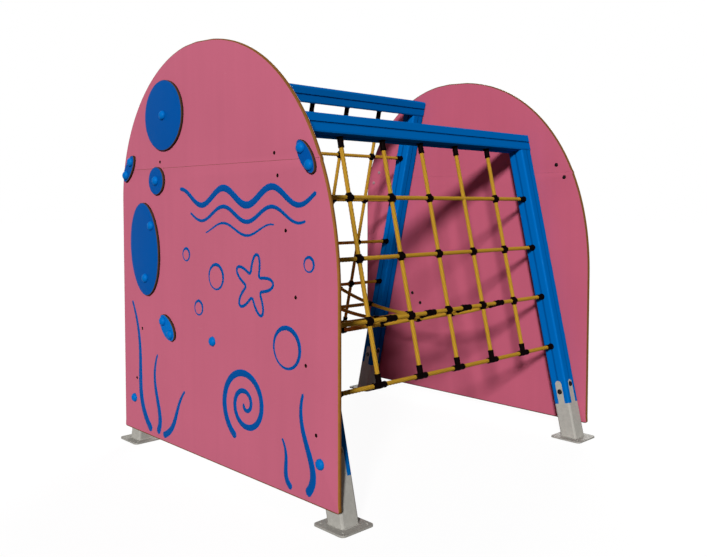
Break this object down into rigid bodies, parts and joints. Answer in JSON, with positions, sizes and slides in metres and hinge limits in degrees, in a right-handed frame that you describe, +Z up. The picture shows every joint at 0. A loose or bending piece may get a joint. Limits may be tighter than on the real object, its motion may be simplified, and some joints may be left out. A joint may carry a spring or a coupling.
{
  "type": "playground climbing frame",
  "caption": "Playground climbing frame with arched end panels and raised round spots, leaning posts under beams, rope nets on both sides and a net bridge between them.",
  "frame": {"origin": "on the ground in the middle of the frame, halfway between the two panels and the two rows of feet", "axes": "+Z up; the front panel faces -Y and the rear panel +Y; the side with the lower beam is at +X and the one with the higher beam at -X"},
  "size_m": [1.944, 2.1112, 2.218],
  "materials": {
    "pink_board": "lightly textured solid-coloured board",
    "blue_board": "lightly textured solid-coloured board",
    "blue_cap": "moulded, smooth",
    "blue_paint": "powder coat, satin",
    "galvanised_steel": "hot-dip galvanised, dull",
    "yellow_rope": "steel-cored rope with a twisted yarn cover and moulded connectors"
  },
  "bodies": {
    "root": {"front_lower_board": "pink_board", "front_upper_board": "pink_board", "rear_lower_board": "pink_board", "rear_upper_board": "pink_board", "front_right_post": "blue_paint", "front_left_post": "blue_paint", "rear_right_post": "blue_paint", "rear_left_post": "blue_paint", "right_beam": "blue_paint", "left_beam": "blue_paint", "front_right_foot": "galvanised_steel", "front_left_foot": "galvanised_steel", "rear_right_foot": "galvanised_steel", "rear_left_foot": "galvanised_steel", "right_net": "yellow_rope", "left_net": "yellow_rope", "bridge_net": "yellow_rope", "front_large_spot": "blue_board", "front_small_spot": "blue_board", "front_large_oval": "blue_board", "front_small_oval": "blue_board", "front_right_strip": "blue_board", "front_left_strip": "blue_board", "rear_large_spot": "blue_board", "rear_small_spot": "blue_board", "rear_large_oval": "blue_board", "rear_small_oval": "blue_board", "rear_right_strip": "blue_board", "rear_left_strip": "blue_board", "front_large_spot_cap": "blue_cap", "front_small_spot_cap": "blue_cap", "front_large_oval_upper_cap": "blue_cap", "front_large_oval_lower_cap": "blue_cap", "front_small_oval_upper_cap": "blue_cap", "front_small_oval_lower_cap": "blue_cap", "front_right_strip_upper_cap": "blue_cap", "front_right_strip_lower_cap": "blue_cap", "front_left_strip_upper_cap": "blue_cap", "front_left_strip_lower_cap": "blue_cap", "front_middle_cap": "blue_cap", "front_left_foot_cap": "blue_cap", "front_right_foot_cap": "blue_cap", "rear_large_spot_cap": "blue_cap", "rear_small_spot_cap": "blue_cap", "rear_large_oval_upper_cap": "blue_cap", "rear_large_oval_lower_cap": "blue_cap", "rear_small_oval_upper_cap": "blue_cap", "rear_small_oval_lower_cap": "blue_cap", "rear_right_strip_upper_cap": "blue_cap", "rear_right_strip_lower_cap": "blue_cap", "rear_left_strip_upper_cap": "blue_cap", "rear_left_strip_lower_cap": "blue_cap", "rear_middle_cap": "blue_cap", "rear_left_foot_cap": "blue_cap", "rear_right_foot_cap": "blue_cap"}
  },
  "joints": []
}
